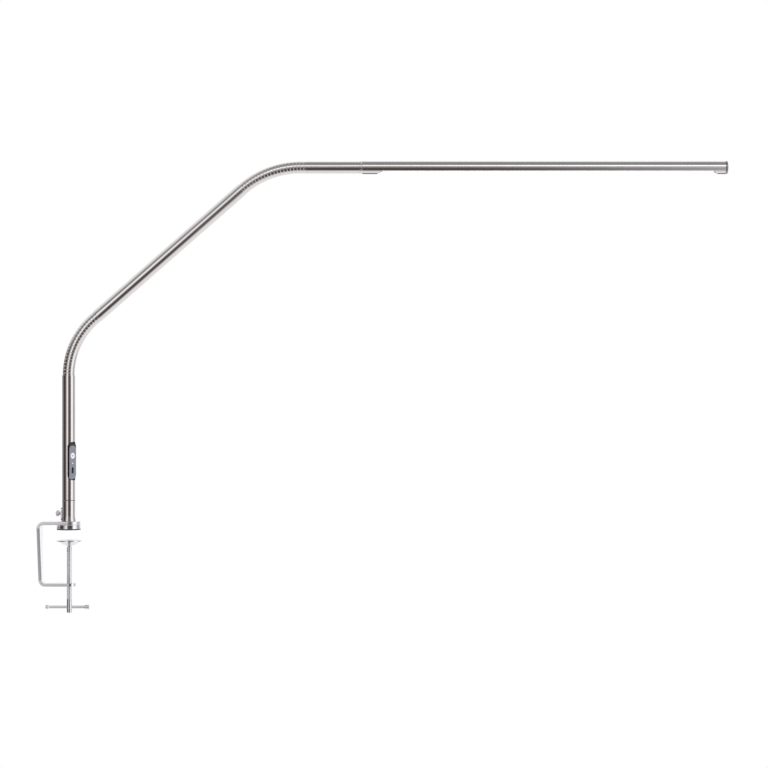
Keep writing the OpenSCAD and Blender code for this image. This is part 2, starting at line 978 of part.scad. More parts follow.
clamp_bracket();
jaw_disc();
jaw_pad();
socket_screw();
pole_socket();
lock_plate();
socket_bush();
swivel_washer();
thumbscrew_tip();
thumbscrew();
screw_ball();
clamp_screw();
tommy_bar();
tommy_bar_cap();
clamp_pad();
pad_ferrule();
pole_tube();
pole_pin();
panel_housing();
panel_plate();
indicator_lens();
inlet_shell();
inlet_tongue();
control_board();
board_parts();
tactile_switch();
board_screws();
lower_adaptor();
pole_wires();
button_cap();
button_inlay();
switch_plunger();
lower_link_1();
lower_link_2();
lower_link_3();
lower_link_4();
middle_tube();
arm_adaptor_lower();
arm_adaptor_upper();
arm_wires();
upper_link_1();
upper_link_2();
upper_link_3();
upper_link_4();
neck_tube();
neck_adaptor();
swivel_bush();
neck_ring();
head_ring();
head_spigot();
spigot_clip();
head_tube();
led_carrier();
led_board();
leds();
carrier_screws();
diffuser();
diffuser_ends();
head_end_cap();
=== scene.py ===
"""Looks of the desk clamp lamp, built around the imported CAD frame."""

import json
import math

import bmesh
import bpy
from mathutils import Matrix, Vector


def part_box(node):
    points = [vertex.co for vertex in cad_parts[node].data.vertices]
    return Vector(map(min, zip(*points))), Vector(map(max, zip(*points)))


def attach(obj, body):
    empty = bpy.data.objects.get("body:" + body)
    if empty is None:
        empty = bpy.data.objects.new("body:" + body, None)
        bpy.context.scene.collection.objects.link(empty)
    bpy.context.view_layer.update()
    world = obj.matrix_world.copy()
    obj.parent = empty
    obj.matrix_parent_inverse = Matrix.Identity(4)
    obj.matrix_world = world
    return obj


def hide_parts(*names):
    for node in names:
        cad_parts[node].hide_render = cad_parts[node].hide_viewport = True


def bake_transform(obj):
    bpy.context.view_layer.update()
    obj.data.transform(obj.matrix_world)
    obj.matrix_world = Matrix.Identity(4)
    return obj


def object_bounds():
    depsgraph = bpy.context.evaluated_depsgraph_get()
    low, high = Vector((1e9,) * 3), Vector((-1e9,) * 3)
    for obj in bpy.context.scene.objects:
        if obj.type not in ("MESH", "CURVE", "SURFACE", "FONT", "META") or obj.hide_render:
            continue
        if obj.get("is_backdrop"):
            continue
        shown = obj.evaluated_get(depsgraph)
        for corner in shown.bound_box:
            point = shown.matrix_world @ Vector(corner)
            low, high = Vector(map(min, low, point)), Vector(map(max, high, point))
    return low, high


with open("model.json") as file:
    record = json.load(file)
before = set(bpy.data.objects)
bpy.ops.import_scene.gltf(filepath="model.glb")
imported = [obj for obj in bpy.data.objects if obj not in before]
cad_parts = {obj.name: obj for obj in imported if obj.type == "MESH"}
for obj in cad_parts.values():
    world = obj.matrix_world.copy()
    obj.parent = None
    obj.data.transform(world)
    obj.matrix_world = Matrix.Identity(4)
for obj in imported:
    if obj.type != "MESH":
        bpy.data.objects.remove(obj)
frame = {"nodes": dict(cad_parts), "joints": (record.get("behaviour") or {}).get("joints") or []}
CAD_LOW, CAD_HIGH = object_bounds()
NODES = frame["nodes"]
JOINTS = {j["name"]: j for j in frame["joints"]}
MM = 0.001
X, Y, Z = Vector((1, 0, 0)), Vector((0, 1, 0)), Vector((0, 0, 1))


# ---- places, all from the CAD frame ----

def joint_at(name):
    return Vector(JOINTS[name]["pos_m"])


def joint_axis(name):
    return Vector(JOINTS[name]["axis"]).normalized()


def place(origin, axis, side=Y):
    """A frame with its z along axis and its y along side."""
    z = axis.normalized()
    x = side.cross(z).normalized()
    y = z.cross(x)
    m = Matrix((x, y, z)).transposed().to_4x4()
    m.translation = origin
    return m


def measure(node, at):
    """How far a CAD node reaches in a frame: lowest and highest z, and its greatest radius."""
    back = at.inverted()
    points = [back @ v.co for v in NODES[node].data.vertices]
    along = [p.z for p in points]
    return min(along), max(along), max(math.hypot(p.x, p.y) for p in points)


def measure_mm(node, at):
    """The same in millimetres, the unit of a turned part's corners."""
    return [v / MM for v in measure(node, at)]


def middle_height(node):
    low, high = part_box(node)
    return (low.z + high.z) / 2


# ---- outlines and meshes ----

# segments round a turned part, by its size; SMOOTH is for the long tubes
TINY, SMALL, MEDIUM, LARGE, SMOOTH = 48, 64, 96, 128, 144
ON_AXIS = 1e-7
BRACE = 0.3 * MM


def soften(corners, steps=4):
    """A closed outline of (x, y, radius) corners, each rounded to its radius."""
    out = []
    count = len(corners)
    for i, (x, y, r) in enumerate(corners):
        p = Vector((x, y))
        u = (Vector(corners[i - 1][:2]) - p).normalized()
        v = (Vector(corners[(i + 1) % count][:2]) - p).normalized()
        half = u.angle(v) / 2
        if r <= 0 or half > math.radians(89):
            out.append(p)
            continue
        reach = r / math.tan(half)
        centre = p + (u + v).normalized() * (r / math.sin(half))
        first, last = p + u * reach - centre, p + v * reach - centre
        a0 = math.atan2(first.y, first.x)
        sweep = (math.atan2(last.y, last.x) - a0 + math.pi) % (2 * math.pi) - math.pi
        for k in range(steps + 1):
            a = a0 + sweep * k / steps
            out.append(centre + r * Vector((math.cos(a), math.sin(a))))
    return out


def finish_mesh(name, bm, body, mat, replaces=(), sharp=32):
    """A piece made of a bmesh: smooth up to the angle sharp, on its body, in its slot."""
    bmesh.ops.remove_doubles(bm, verts=bm.verts, dist=1e-7)
    bmesh.ops.recalc_face_normals(bm, faces=bm.faces)
    mesh = bpy.data.meshes.new(name)
    bm.to_mesh(mesh)
    bm.free()
    for p in mesh.polygons:
        p.use_smooth = True
    mesh.set_sharp_from_angle(angle=math.radians(sharp))
    piece = bpy.data.objects.new(name, mesh)
    bpy.context.scene.collection.objects.link(piece)
    mesh.materials.append(mat)
    if body:
        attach(piece, body)
    if replaces:
        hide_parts(*replaces)
    return piece


def spin_bm(outline, at, segments=MEDIUM, ripple=None):
    """Turns a closed outline of (radius, height) points about the z of a frame."""
    bm = bmesh.new()
    rings = []
    for r, z in outline:
        if r < ON_AXIS:
            rings.append([bm.verts.new(at @ Vector((0, 0, z)))])
            continue
        ring = []
        for k in range(segments):
            a = 2 * math.pi * k / segments
            q = ripple(r, z, a) if ripple else r
            ring.append(bm.verts.new(at @ Vector((q * math.cos(a), q * math.sin(a), z))))
        rings.append(ring)
    for i in range(len(rings)):
        a, b = rings[i - 1], rings[i]
        if len(a) == 1 and len(b) == 1:
            continue
        for k in range(segments):
            n = (k + 1) % segments
            if len(a) == 1:
                bm.faces.new((a[0], b[n], b[k]))
            elif len(b) == 1:
                bm.faces.new((a[k], a[n], b[0]))
            else:
                bm.faces.new((a[k], a[n], b[n], b[k]))
    return bm


def brace(outline):
    """An outline with extra points near the ends of its long sides.

    They keep the shading flat along those sides. A side on the axis needs none."""
    out = []
    for i, p in enumerate(outline):
        out.append(p)
        way = outline[(i + 1) % len(outline)] - p
        on_axis = p.x + abs(way.x) < ON_AXIS
        if way.length > 3 * BRACE and not on_axis:
            step = way.normalized() * BRACE
            out += [p + step, p + way - step]
    return out


def turned_outline(corners, steps):
    """The braced outline of a turned part whose corners are given in millimetres."""
    return brace(soften([tuple(v * MM for v in c) for c in corners], steps))


def spin(name, corners, at, body, mat, segments=MEDIUM, ripple=None, steps=4):
    """A turned piece that stands for the CAD node of the same name."""
    bm = spin_bm(turned_outline(corners, steps), at, segments, ripple)
    return finish_mesh(name, bm, body, mat, [name.lower()])


def prism_bm(outline, at, z0, z1):
    """A closed outline of (x, y) points, drawn out along the z of a frame."""
    bm = bmesh.new()
    low = [bm.verts.new(at @ Vector((p[0], p[1], z0))) for p in outline]
    high = [bm.verts.new(at @ Vector((p[0], p[1], z1))) for p in outline]
    for k in range(len(outline)):
        n = (k + 1) % len(outline)
        bm.faces.new((low[k], low[n], high[n], high[k]))
    bm.faces.new(low[::-1])
    bm.faces.new(high)
    return bm


def cut(bm, *cutters):
    """bm less the cutters, as a new bmesh."""
    made = []
    for source in (bm, *cutters):
        bmesh.ops.recalc_face_normals(source, faces=source.faces)
        mesh = bpy.data.meshes.new("scratch")
        source.to_mesh(mesh)
        source.free()
        made.append(bpy.data.objects.new("scratch", mesh))
        bpy.context.scene.collection.objects.link(made[-1])
    for tool in made[1:]:
        step = made[0].modifiers.new("cut", "BOOLEAN")
        step.operation, step.object, step.solver = "DIFFERENCE", tool, "EXACT"
    bpy.context.view_layer.update()
    result = bmesh.new()
    result.from_object(made[0], bpy.context.evaluated_depsgraph_get())
    for o in made:
        bpy.data.objects.remove(o)
    return result


def grid_bm(path, stations, radius, inner, segments):
    """A wound surface along a path.

    radius(s, a) is its outside, and inner its bore, or None for a solid rod."""
    bm = bmesh.new()

    def rings(measured):
        out = []
        for s in stations:
            p, t, n = path(s)
            b = t.cross(n)
            ring = []
            for k in range(segments):
                a = 2 * math.pi * k / segments
                r = measured(s, a)
                ring.append(bm.verts.new(p + (n * math.cos(a) + b * math.sin(a)) * r))
            out.append(ring)
        return out

    def join(a, b):
        for k in range(segments):
            n = (k + 1) % segments
            bm.faces.new((a[k], a[n], b[n], b[k]))

    outside = rings(radius)
    for a, b in zip(outside, outside[1:]):
        join(a, b)
    if inner is None:
        bm.faces.new(outside[0][::-1])
        bm.faces.new(outside[-1])
    else:
        inside = rings(lambda s, a: inner)
        for a, b in zip(inside, inside[1:]):
            join(b, a)
        join(inside[0], outside[0])
        join(outside[-1], inside[-1])
    return bm


# ---- materials ----

def node_of(tree, kind, **values):
    """A new node. Each value is one of its settings, or an input with _ for a space."""
    n = tree.nodes.new(kind)
    for key, value in values.items():
        if hasattr(n, key):
            setattr(n, key, value)
        else:
            n.inputs[key.replace("_", " ")].default_value = value
    return n


def scaled_place(tree, axis, across, along):
    """Object coordinates scaled by across, and by along as well in the direction of axis.

    Noise in them streaks across that axis."""
    link = tree.links.new
    coords = node_of(tree, "ShaderNodeTexCoord").outputs["Object"]
    low = node_of(tree, "ShaderNodeVectorMath", operation="SCALE", Scale=across)
    link(coords, low.inputs[0])
    if axis is None:
        return low.outputs[0]
    dot = node_of(tree, "ShaderNodeVectorMath", operation="DOT_PRODUCT")
    dot.inputs[1].default_value = axis
    link(coords, dot.inputs[0])
    times = node_of(tree, "ShaderNodeMath", operation="MULTIPLY")
    times.inputs[1].default_value = along
    link(dot.outputs["Value"], times.inputs[0])
    high = node_of(tree, "ShaderNodeVectorMath", operation="SCALE")
    high.inputs[0].default_value = axis
    link(times.outputs[0], high.inputs["Scale"])
    both = node_of(tree, "ShaderNodeVectorMath", operation="ADD")
    link(low.outputs[0], both.inputs[0])
    link(high.outputs[0], both.inputs[1])
    return both.outputs[0]


def surface(name, colour, metallic=0.0, rough=(0.3, 0.4), tone=0.06, patch=60.0, grain=900.0,
            relief=0.02, axis=None, along=0.0, wear=0.0, **sockets):
    """A procedural finish: tone and roughness vary in soft patches and in grain or brushing.

    patch, grain and along are noise scales, relief is in millimetres, wear lightens edges."""
    mat = bpy.data.materials.new(name)
    mat.use_nodes = True
    tree = mat.node_tree
    link = tree.links.new
    shader = tree.nodes["Principled BSDF"]
    shader.inputs["Metallic"].default_value = metallic
    for key, value in sockets.items():
        shader.inputs[key.replace("_", " ")].default_value = value

    def ranged(source, low, high):
        """A value from 0 to 1, laid between two limits."""
        span = node_of(tree, "ShaderNodeMapRange", To_Min=low, To_Max=high)
        link(source, span.inputs["Value"])
        return span.outputs[0]

    soft = node_of(tree, "ShaderNodeTexNoise", Scale=1.0, Detail=3.0, Roughness=0.6)
    link(scaled_place(tree, None, patch, 0), soft.inputs["Vector"])
    fine = node_of(tree, "ShaderNodeTexNoise", Scale=1.0, Detail=2.0, Roughness=0.5)
    link(scaled_place(tree, axis, grain if axis is None else patch, along), fine.inputs["Vector"])

    both = node_of(tree, "ShaderNodeMath", operation="MULTIPLY")
    link(ranged(soft.outputs["Fac"], 1 - tone, 1 + tone), both.inputs[0])
    link(ranged(fine.outputs["Fac"], 1 - tone / 2, 1 + tone / 2), both.inputs[1])
    paint = node_of(tree, "ShaderNodeVectorMath", operation="SCALE")
    paint.inputs[0].default_value = colour
    link(both.outputs[0], paint.inputs["Scale"])
    base = paint.outputs[0]
    if wear:
        edge = node_of(tree, "ShaderNodeNewGeometry")
        worn = node_of(tree, "ShaderNodeMapRange", From_Min=0.52, From_Max=0.62, To_Max=wear)
        link(edge.outputs["Pointiness"], worn.inputs["Value"])
        lighter = (*[min(1, c * 1.6 + 0.04) for c in colour], 1)
        mix = node_of(tree, "ShaderNodeMix", data_type="RGBA", B=lighter)
        link(worn.outputs[0], mix.inputs["Factor"])
        link(base, mix.inputs["A"])
        base = mix.outputs["Result"]
    link(base, shader.inputs["Base Color"])

    average = node_of(tree, "ShaderNodeMix", data_type="FLOAT", Factor=0.5)
    link(soft.outputs["Fac"], average.inputs["A"])
    link(fine.outputs["Fac"], average.inputs["B"])
    link(ranged(average.outputs["Result"], *rough), shader.inputs["Roughness"])

    bump = node_of(tree, "ShaderNodeBump", Strength=1.0, Distance=relief * MM)
    link(fine.outputs["Fac"], bump.inputs["Height"])
    link(bump.outputs["Normal"], shader.inputs["Normal"])
    return mat


STEEL = (0.64, 0.62, 0.615)


def brushed(name, axis):
    """Stainless tube, ground round and round, so that it is streaked across its axis."""
    return surface(name, STEEL, 1.0, (0.1, 0.17), tone=0.05, patch=40.0, relief=0.006,
                   axis=axis, along=4200.0)


middle_axis = (joint_at("upper_bend") - joint_at("lower_bend_3")).normalized()
steel_up = brushed("brushed_steel_upright", Z)
steel_slope = brushed("brushed_steel_sloping", middle_axis)
steel_level = brushed("brushed_steel_level", X)
steel_hose = surface("wound_steel", STEEL, 1.0, (0.14, 0.22), tone=0.05, patch=90.0,
                     grain=2500.0, relief=0.004)
nickel = surface("satin_nickel", (0.75, 0.75, 0.78), 1.0, (0.22, 0.3), tone=0.04, patch=50.0,
                 grain=3000.0, relief=0.008, wear=0.3)
chrome = surface("polished_chrome", (0.66, 0.66, 0.68), 1.0, (0.05, 0.1), tone=0.02,
                 patch=70.0, grain=1800.0, relief=0.001)
machined = surface("machined_steel", (0.7, 0.7, 0.71), 1.0, (0.18, 0.3), tone=0.06,
                   patch=120.0, grain=2600.0, relief=0.006)
# steel darkened to paint the dark reflections on the head's end cap: a painted reflection
steel_painted_dark = surface("nickel_painted_dark", (0.26, 0.25, 0.25), 1.0, (0.2, 0.3), tone=0.06,
                     patch=120.0, grain=2400.0, relief=0.006)
rubber = surface("black_rubber", (0.014, 0.014, 0.015), 0.0, (0.6, 0.8), tone=0.2,
                 patch=200.0, grain=2400.0, relief=0.04)
black = surface("black_plastic", (0.02, 0.02, 0.022), 0.0, (0.34, 0.46), tone=0.15,
                patch=180.0, grain=3200.0, relief=0.02, wear=0.3)
plate_grey = surface("anodised_grey", (0.36, 0.37, 0.42), 0.85, (0.34, 0.44), tone=0.06,
                     patch=120.0, relief=0.006, axis=Z, along=3800.0)
inlay_grey = surface("grey_plastic", (0.42, 0.43, 0.46), 0.0, (0.36, 0.46), tone=0.08,
                     patch=300.0, grain=3500.0, relief=0.01)
# this white plastic glows a little though it is no lamp: painted light that brightens it
white = surface("white_plastic", (0.9, 0.9, 0.9), 0.0, (0.25, 0.36), tone=0.03, patch=250.0,
                grain=3000.0, relief=0.008, Emission_Strength=0.1)
# the indicator lens glows though nothing behind it is lit: painted light
clear = surface("clear_lens", (0.93, 0.95, 0.97), 0.0, (0.06, 0.12), tone=0.02, patch=300.0,
                grain=2600.0, relief=0.002, Emission_Strength=0.5, IOR=1.49)
# the diffuser glows a little though the LEDs under it are unlit: painted light that brightens it
diffusing = surface("diffuser_white", (0.92, 0.92, 0.93), 0.0, (0.38, 0.5), tone=0.015,
                    patch=45.0, grain=2600.0, relief=0.01, Emission_Strength=0.3)
green = surface("circuit_board", (0.03, 0.16, 0.07), 0.0, (0.3, 0.45), tone=0.15,
                patch=260.0, grain=1500.0, relief=0.03)
chips = surface("component_black", (0.03, 0.03, 0.032), 0.0, (0.4, 0.55), tone=0.2,
                patch=400.0, grain=2500.0, relief=0.02)
led_yellow = surface("led_phosphor", (0.85, 0.72, 0.25), 0.0, (0.3, 0.45), tone=0.06,
                     patch=500.0, grain=3500.0, relief=0.01)
aluminium = surface("extruded_aluminium", (0.8, 0.8, 0.81), 1.0, (0.3, 0.42), tone=0.04,
                    patch=60.0, relief=0.01, axis=Y, along=2500.0)
red_wire = surface("red_insulation", (0.45, 0.03, 0.03), 0.0, (0.35, 0.5), tone=0.08,
                   patch=120.0, grain=1800.0, relief=0.01)
white_wire = surface("white_insulation", (0.8, 0.8, 0.78), 0.0, (0.35, 0.5), tone=0.05,
                     patch=120.0, grain=1800.0, relief=0.01)


# ---- CAD nodes that stay ----

BEVEL_ANGLE = math.radians(38)


def dress(node, mat, bevel=0.0, second=None):
    """A CAD node keeps its mesh and gets a finish, and eased edges where it is seen."""
    o = NODES[node]
    for i, slot in enumerate(o.material_slots):
        slot.material = second if second and i else mat
    if bevel:
        weld = o.modifiers.new("weld", "WELD")
        weld.merge_threshold = 1e-6
        ease = o.modifiers.new("ease", "BEVEL")
        ease.width = bevel * MM
        ease.segments = 3
        ease.limit_method = "ANGLE"
        ease.angle_limit = BEVEL_ANGLE
        ease.harden_normals = False
        o.modifiers.new("normals", "WEIGHTED_NORMAL").keep_sharp = False


for name, mat, bevel in (
        ("clamp_bracket", nickel, 0.5), ("lock_plate", steel_up, 0.3),
        ("panel_housing", black, 0.25), ("panel_plate", plate_grey, 0.15),
        ("socket_screw", machined, 0), ("socket_bush", white, 0),
        ("swivel_washer", rubber, 0), ("thumbscrew_tip", white, 0), ("screw_ball", machined, 0),
        ("pole_pin", machined, 0), ("inlet_shell", chips, 0), ("inlet_tongue", black, 0),
        ("control_board", green, 0), ("board_parts", chips, 0), ("tactile_switch", chips, 0),
        ("board_screws", machined, 0), ("switch_plunger", black, 0), ("swivel_bush", white, 0),
        ("head_spigot", machined, 0), ("spigot_clip", machined, 0), ("led_carrier", aluminium, 0),
        ("led_board", white, 0), ("leds", led_yellow, 0), ("carrier_screws", machined, 0),
        ("diffuser_ends", inlay_grey, 0)):
    dress(name, mat, bevel)
for name in ("pole_wires", "arm_wires"):
    dress(name, red_wire, 0, white_wire)


# ---- clamp; the corners of turned parts are in millimetres ----

FIT = 0.05
SCREW_BORE = 3.05
KNOB_EDGE = 0.6
upright = place(Vector((0, 0, 0)), Z)

z0, z1, r = measure_mm("jaw_disc", upright)
spin("Jaw_disc", [(SCREW_BORE, z0, 0), (r - 0.4, z0, 0.4), (r, z0 + 0.4, 0.3), (r, z1, 0.7),
                  (SCREW_BORE, z1, 0)],
     upright, "clamp", chrome, LARGE)
z0, z1, r = measure_mm("jaw_pad", upright)
spin("Jaw_pad", [(0, z0, 0), (r, z0, 0.5), (r, z1, 0.3), (0, z1, 0)],
     upright, "clamp", rubber, LARGE)

FLARE_HIGH, FLARE_ROUND = 8, 14.0
z0, z1, flare_r = measure_mm("pole_socket", upright)
pole_low, pole_high, tube_r = measure_mm("pole_tube", upright)
bush_low, _, bush_r = measure_mm("socket_bush", upright)
bore_floor = bush_low - 0.1
spin("Pole_socket", [(SCREW_BORE, z0, 0), (flare_r, z0, 0.35), (flare_r - 0.05, z0 + 1.2, 1.0),
                     (tube_r, z0 + FLARE_HIGH, FLARE_ROUND), (tube_r, z1, 0.15),
                     (bush_r + FIT, z1, 0.1), (bush_r + FIT, bore_floor, 0),
                     (SCREW_BORE, bore_floor, 0)],
     upright, "clamp", steel_up, LARGE, steps=8)

lock = place(joint_at("lock_turn"), -joint_axis("lock_turn"))
z0, z1, knob_r = measure_mm("thumbscrew", lock)
STEM_R = 2.45
KNURL_FLUTES = 22
KNURL_DEPTH = 0.22 * MM


def knurl(r, z, a):
    """The thumbscrew's flutes, on the outside of its knob only."""
    if r < (knob_r - KNOB_EDGE) * MM or z < 0.3 * MM:
        return r
    return r - KNURL_DEPTH * abs(math.sin(KNURL_FLUTES * a / 2)) ** 0.6


spin("Thumbscrew", [(0, z0, 0), (STEM_R, z0, 0.3), (STEM_R, 0, 0.2), (3.2, 0, 0.2),
                    (knob_r, 1.1, 0.5), (knob_r, z1 - 0.9, 0.2), (knob_r - 0.9, z1, 0.2),
                    (2.2, z1, 0.3), (1.8, z1 - 0.5, 0.3), (0, z1 - 0.5, 0)],
     lock, "lock_screw", nickel, KNURL_FLUTES * 8, knurl)

screw_at = place(joint_at("clamp_turn"), Z)
foot, top, screw_r = measure("clamp_screw", screw_at)
THREAD_PITCH = 1.25 * MM
THREAD_DEPTH = 0.25 * MM
THREAD_SLOPE, THREAD_FLAT = 4.4, 1.2  # the groove's flanks, and over 1 its flat bottom
THREAD_LOW = foot + 20.8 * MM
THREAD_HIGH = top - 7.8 * MM
THREAD_MARGIN = 0.2 * MM
TOP_CHAMFER = 1.6 * MM
FOOT_CHAMFER = 0.8 * MM
FOOT_SLOPE = 0.8


def screw_path(s):
    return screw_at @ Vector((0, 0, s)), Z, X


def screw_radius(s, a):
    """Plain near the head and at the foot, threaded between, with a chamfer at both ends."""
    run_in = min(max((THREAD_HIGH - s) / THREAD_PITCH, 0), 1)
    run_out = min(max((s - THREAD_LOW) / THREAD_PITCH, 0), 1)
    turn = (s / THREAD_PITCH - a / (2 * math.pi)) % 1
    groove = min(1.0, max(0.0, THREAD_FLAT - abs(turn - 0.5) * THREAD_SLOPE)) * THREAD_DEPTH
    r = screw_r - groove * min(run_in, run_out)
    return r - max(0, s - (top - TOP_CHAMFER)) - FOOT_SLOPE * max(0, foot + FOOT_CHAMFER - s)


stations = [foot, foot + 0.3 * MM, foot + FOOT_CHAMFER, foot + 1.2 * MM]
s = THREAD_LOW - THREAD_MARGIN
while s < THREAD_HIGH + THREAD_MARGIN:
    stations.append(s)
    s += THREAD_PITCH / 8
stations += [top - 1.7 * MM, top - TOP_CHAMFER, top - 0.8 * MM, top]
finish_mesh("Clamp_screw", grid_bm(screw_path, stations, screw_radius, None, 40),
            "clamp_spindle", nickel, ["clamp_screw"], sharp=50)

HEAD = 5.0
ROD_R = 2.5
CAP_DEPTH = 1.9
tommy_at = place(Vector((joint_at("clamp_turn").x, 0, middle_height("tommy_bar"))), X)
z0, z1, r = measure_mm("tommy_bar", tommy_at)
spin("Tommy_bar", [(0, z0, 0), (r - 0.5, z0, 0.3), (r, z0 + 0.6, 0.3), (r, z0 + HEAD - 1.2, 0.5),
                   (ROD_R, z0 + HEAD, 0.6), (ROD_R, z1, 0.2), (0, z1, 0)],
     tommy_at, "handle", nickel, SMALL)
z0, z1, r = measure_mm("tommy_bar_cap", tommy_at)
spin("Tommy_bar_cap", [(ROD_R + FIT, z0, 0.1), (r - 0.6, z0, 0.2), (r, z0 + 0.9, 0.5),
                       (r, z1 - 0.5, 0.3), (r - 0.5, z1, 0.3), (0, z1, 0), (0, z1 - CAP_DEPTH, 0),
                       (ROD_R + FIT, z1 - CAP_DEPTH, 0)],
     tommy_at, "handle", nickel, SMALL)

FERRULE_R = 4.6
BALL_SEAT_R = 3.05
DISH_FLOOR_R = 8.6
SHEET = 1.5
z0, z1, r = measure_mm("clamp_pad", screw_at)
spin("Clamp_pad", [(FERRULE_R + FIT, z0, 0), (DISH_FLOOR_R + 0.4, z0, 3.0),
                   (r - 1.4, z1 - 2.2, 1.5), (r, z1 - 1.4, 0.2), (r, z1, 0.3), (r - 2.2, z1, 0.8),
                   (DISH_FLOOR_R - 0.4, z0 + SHEET, 3.0), (FERRULE_R + FIT, z0 + SHEET, 0)],
     screw_at, "pad", chrome, LARGE, steps=6)
z0, z1, r = measure_mm("pad_ferrule", screw_at)
spin("Pad_ferrule", [(2.1, z0 + 1.1, 0.2), (2.9, z0, 0.2), (FERRULE_R, z0, 0.4),
                     (FERRULE_R, z0 + 2.7, 0), (r, z0 + 2.7, 0.2), (r, z0 + 3.7, 0.4),
                     (FERRULE_R, z0 + 3.7, 0), (FERRULE_R, z1, 0.6), (1.2, z1, 0.3),
                     (1.6, z1 - 0.3, 0), (BALL_SEAT_R, z0 + 2.4, 0)],
     screw_at, "pad", machined, SMALL)


# ---- pole and control panel ----

POLE_WALL = 1.2
HOUSING_CORNER = 7
HOUSING_GAP = 0.05
WINDOW_DEPTH = 30 * MM
normal = joint_axis("button_press")
panel_at = place(Vector((0, 0, 0)), normal, normal.cross(Z))


def tube_outline(r, wall, s0, s1, edge=0.3):
    """The corners of a tube that reaches from s0 to s1."""
    return [(r - wall, s0, 0.1), (r, s0, edge), (r, s1, edge), (r - wall, s1, 0.1)]


def stadium(width, low, high, corner, grow):
    """A round-cornered outline in the panel's frame: x is height, y is across."""
    w = width / 2 + grow
    return [tuple(v * MM for v in p) for p in soften(
        [(low - grow, -w, corner + grow), (high + grow, -w, corner + grow),
         (high + grow, w, corner + grow), (low - grow, w, corner + grow)], 10)]


def panel_span(node):
    """A panel node's lowest and highest height, and its width."""
    back = panel_at.inverted()
    p = [back @ v.co for v in NODES[node].data.vertices]
    low, high = min(q.x for q in p), max(q.x for q in p)
    return low / MM, high / MM, 2 * max(abs(q.y) for q in p) / MM


def on_panel(node):
    """The panel's frame at the height of a node."""
    return place(Vector((0, 0, middle_height(node))), normal, normal.cross(Z))


low, high, width = panel_span("panel_housing")
pole_outline = turned_outline(tube_outline(tube_r, POLE_WALL, pole_low, pole_high, 0.15), 3)
window = prism_bm(stadium(width, low, high, HOUSING_CORNER, HOUSING_GAP), panel_at, 0,
                  WINDOW_DEPTH)
finish_mesh("Pole_tube", cut(spin_bm(pole_outline, upright, SMOOTH), window), "pole",
            steel_up, ["pole_tube"], sharp=30)

FLANGE_LOW, FLANGE_HIGH = 1.4, 2.1
button_at = on_panel("button_cap")
z0, z1, flange_r = measure_mm("button_cap", button_at)
button_r = flange_r - 0.8
spin("Button_cap", [(0, z0, 0), (2, z0, 0.2), (2, z0 + FLANGE_LOW, 0),
                    (flange_r, z0 + FLANGE_LOW, 0.1), (flange_r, z0 + FLANGE_HIGH, 0.1),
                    (button_r, z0 + FLANGE_HIGH, 0), (button_r, z1, 0.45), (2.6, z1 - 0.12, 1.0),
                    (1.45, z1 - 0.25, 0.3), (1.3, z1 - 0.8, 0), (0, z1 - 0.8, 0)],
     button_at, "button", white, MEDIUM)
z0, z1, r = measure_mm("button_inlay", button_at)
spin("Button_inlay", [(0, z0, 0), (r, z0, 0), (r, z1, 0.3), (0, z1 + 0.05, 0)],
     button_at, "button", inlay_grey, SMALL)
lens_at = on_panel("indicator_lens")
z0, z1, r = measure_mm("indicator_lens", lens_at)
spin("Indicator_lens", [(0, z0, 0), (r, z0, 0), (r, z1 - 0.15, 0.3), (0, z1 + 0.1, 0)],
     lens_at, "pole", clear, TINY)


# ---- goosenecks and middle tube ----

COIL = 5.2 * MM
HOSE_R = 9.2 * MM
HOSE_WALL = 1.7 * MM
GROOVE = 0.3 * MM
GROOVE_POWER = 14  # higher is narrower
STATION_STEP = COIL / 30
HOSE_SEGMENTS = 72
LINKS = 5
ARM_WALL = 1


def gooseneck(label, start, start_dir, prefix, end_at, adaptors):
    """Five sections of wound hose, each bending across one joint.

    They share one arc, and a short straight tail leads from it to end_at."""
    step = (joint_at(prefix + "_bend") - start).length
    end_dir = end_at.to_3x3() @ Z
    turn = start_dir.angle(end_dir)
    arc_r = step / math.tan(turn / (LINKS + 1))
    side = Y
    inward = side.cross(start_dir)
    centre = start + inward * arc_r
    arc_len = arc_r * turn
    arc_end = centre - (Matrix.Rotation(turn, 3, side) @ inward) * arc_r
    whole = arc_len + (end_at.translation - arc_end).length

    def path(s):
        a = min(s, arc_len) / arc_r
        turned = Matrix.Rotation(a, 3, side)
        t = turned @ start_dir
        n = turned @ inward
        return centre - n * arc_r + t * max(0.0, s - arc_len), t, n

    def radius(s, a):
        t = (s / COIL - a / (2 * math.pi)) % 1
        ends = min(1.0, s / (0.5 * COIL), (whole - s) / (0.5 * COIL))
        return HOSE_R - GROOVE * abs(2 * t - 1) ** GROOVE_POWER * max(ends, 0.0)

    share = arc_len / (LINKS + 1)
    borders = [0.0, *[(k + 0.5) * share for k in range(1, LINKS)], whole]
    for k in range(LINKS):
        s0, s1 = borders[k], borders[k + 1]
        count = round((s1 - s0) / STATION_STEP)
        stations = [s0 + (s1 - s0) * i / count for i in range(count + 1)]
        bm = grid_bm(path, stations, radius, HOSE_R - HOSE_WALL, HOSE_SEGMENTS)
        stands_for = [adaptors[0] if k == 0 else prefix + "_link_" + str(k)]
        if k == LINKS - 1:
            stands_for.append(adaptors[1])
        piece = finish_mesh(label + "_" + str(k + 1), bm, None, steel_hose,
                            stands_for, sharp=60)
        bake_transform(piece)


def arm_tube(name, at, body, mat):
    """A plain tube; returns where its two ends are on the axis."""
    low, high, r = measure_mm(name.lower(), at)
    spin(name, tube_outline(r, ARM_WALL, low, high), at, body, mat, SMOOTH)
    return [at @ Vector((0, 0, v * MM)) for v in (low, high)]


middle_start, middle_end = arm_tube(
    "Middle_tube", place(joint_at("lower_bend_3"), middle_axis), "middle_arm", steel_slope)
neck_at = place(joint_at("bar_roll"), X)
neck_start, _ = arm_tube("Neck_tube", neck_at, "neck", steel_level)

